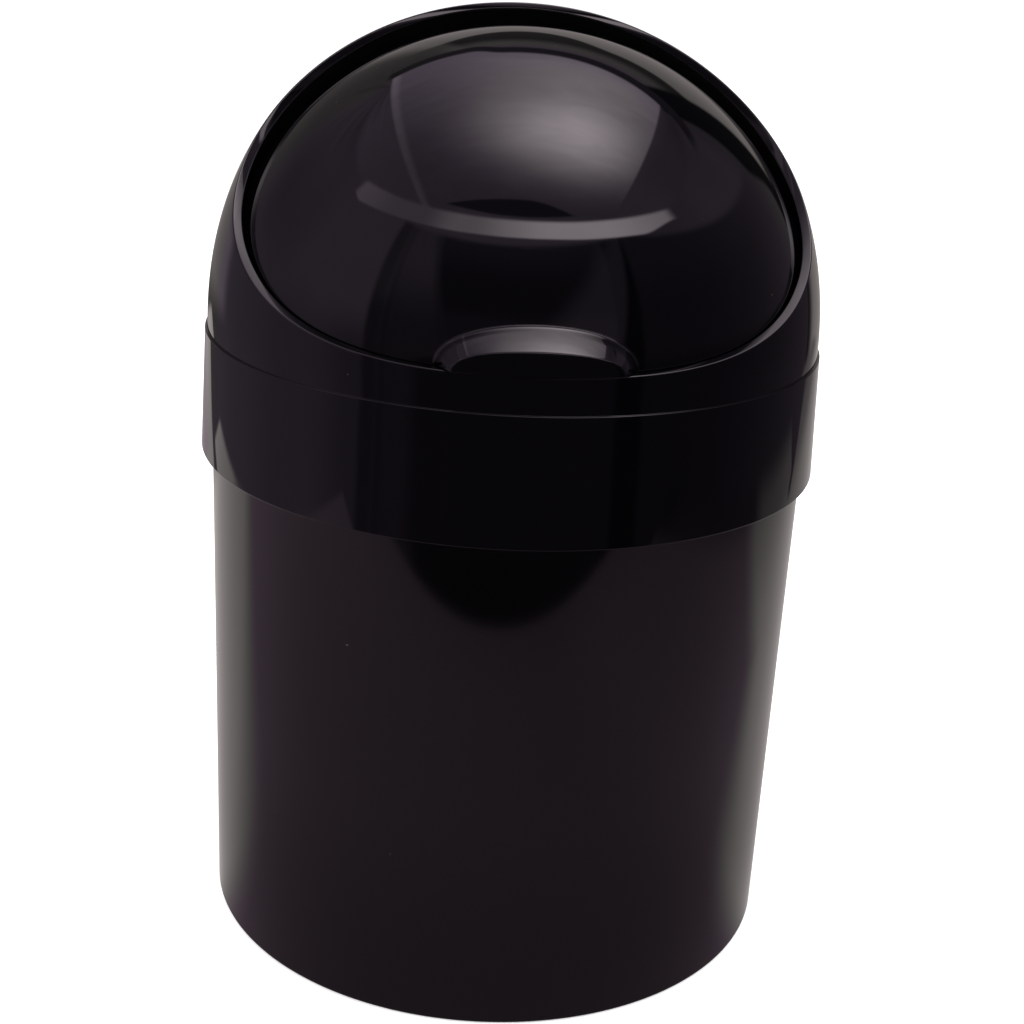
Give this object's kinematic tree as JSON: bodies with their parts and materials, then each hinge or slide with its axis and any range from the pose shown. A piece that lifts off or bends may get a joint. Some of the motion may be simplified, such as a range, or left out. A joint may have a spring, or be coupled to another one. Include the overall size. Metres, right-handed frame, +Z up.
{
  "type": "countertop swing lid bin",
  "caption": "Small round countertop trash can: a tapered bucket, a lift-off lid with a skirt and hooded roof, and a domed swing flap with a thumb tab that rolls back under the roof.",
  "frame": {"origin": "middle of the foot ring, on the surface that the bin stands on", "axes": "+Z up along the bucket's axis, -Y towards the thumb tab and the mouth, +X to the right of someone facing the tab"},
  "size_m": [0.132, 0.132, 0.1975],
  "materials": {
    "satin_body": "satin black injection-moulded polypropylene",
    "gloss_lid": "high-gloss black, polished mould",
    "gloss_flap": "high-gloss black, polished mould",
    "pin_plastic": "matt black acetal"
  },
  "bodies": {
    "bin": {"bin_body": "satin_body"},
    "lid": {"lid_housing": "gloss_lid", "pivot_pin_left": "pin_plastic", "pivot_pin_right": "pin_plastic"},
    "flap": {"swing_flap": "gloss_flap"}
  },
  "joints": [
    {"name": "lid_lift", "type": "slide", "parent": "bin", "child": "lid", "axis": [0, 0, 1], "range_m": [0, 0.04]},
    {"name": "flap_swing", "type": "hinge", "parent": "lid", "child": "flap", "pos_m": [0, 0, 0.1323], "axis": [-1, 0, 0], "range_deg": [0, 76]}
  ]
}
